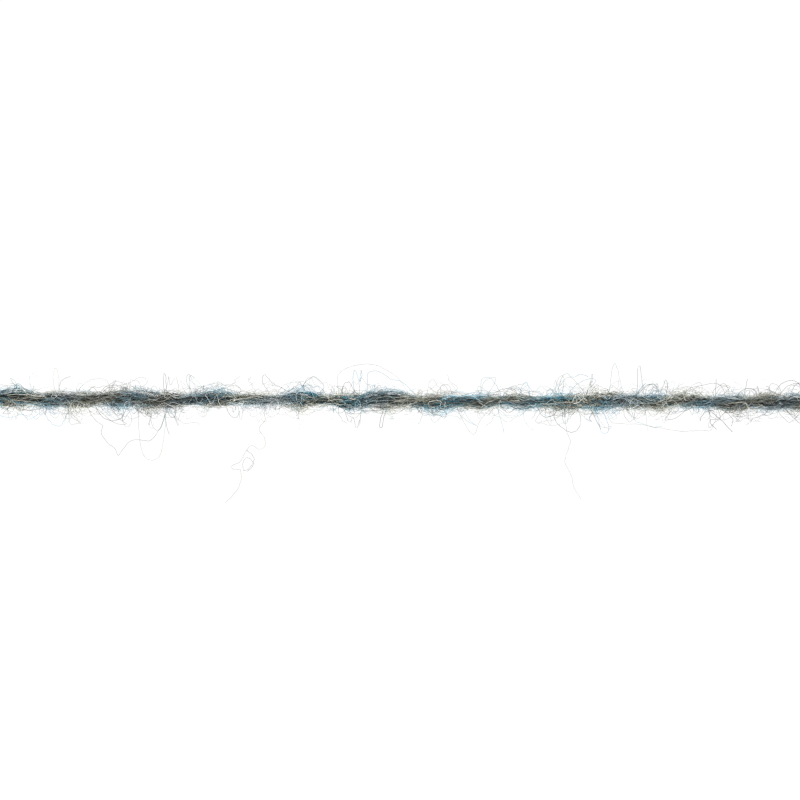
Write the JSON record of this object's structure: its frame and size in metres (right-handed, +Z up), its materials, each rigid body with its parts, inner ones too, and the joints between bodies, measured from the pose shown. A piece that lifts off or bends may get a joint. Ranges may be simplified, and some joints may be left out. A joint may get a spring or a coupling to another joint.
{
  "type": "two-ply lace weight yarn",
  "caption": "Straight cut length of fine heathered wool yarn, slate blue and taupe singles plied together, with a fuzzy halo of loops and loose fibres, lying on a surface.",
  "frame": {"origin": "middle of the strand's flat underside, where it rests on the surface", "axes": "+X along the strand, +Y across it on the surface, +Z up"},
  "size_m": [0.044, 0.0071, 0.0017],
  "materials": {
    "heathered_wool": "woollen-spun, dark heathered slate and taupe",
    "blue_wool": "slate blue wool fibre with charcoal and pale grey mixed in",
    "taupe_wool": "taupe grey wool fibre with dark brown and cream mixed in",
    "halo_wool": "single crimped fibres of both colours standing off the strand"
  },
  "bodies": {
    "root": {"two_ply_strand": "heathered_wool"}
  },
  "joints": []
}
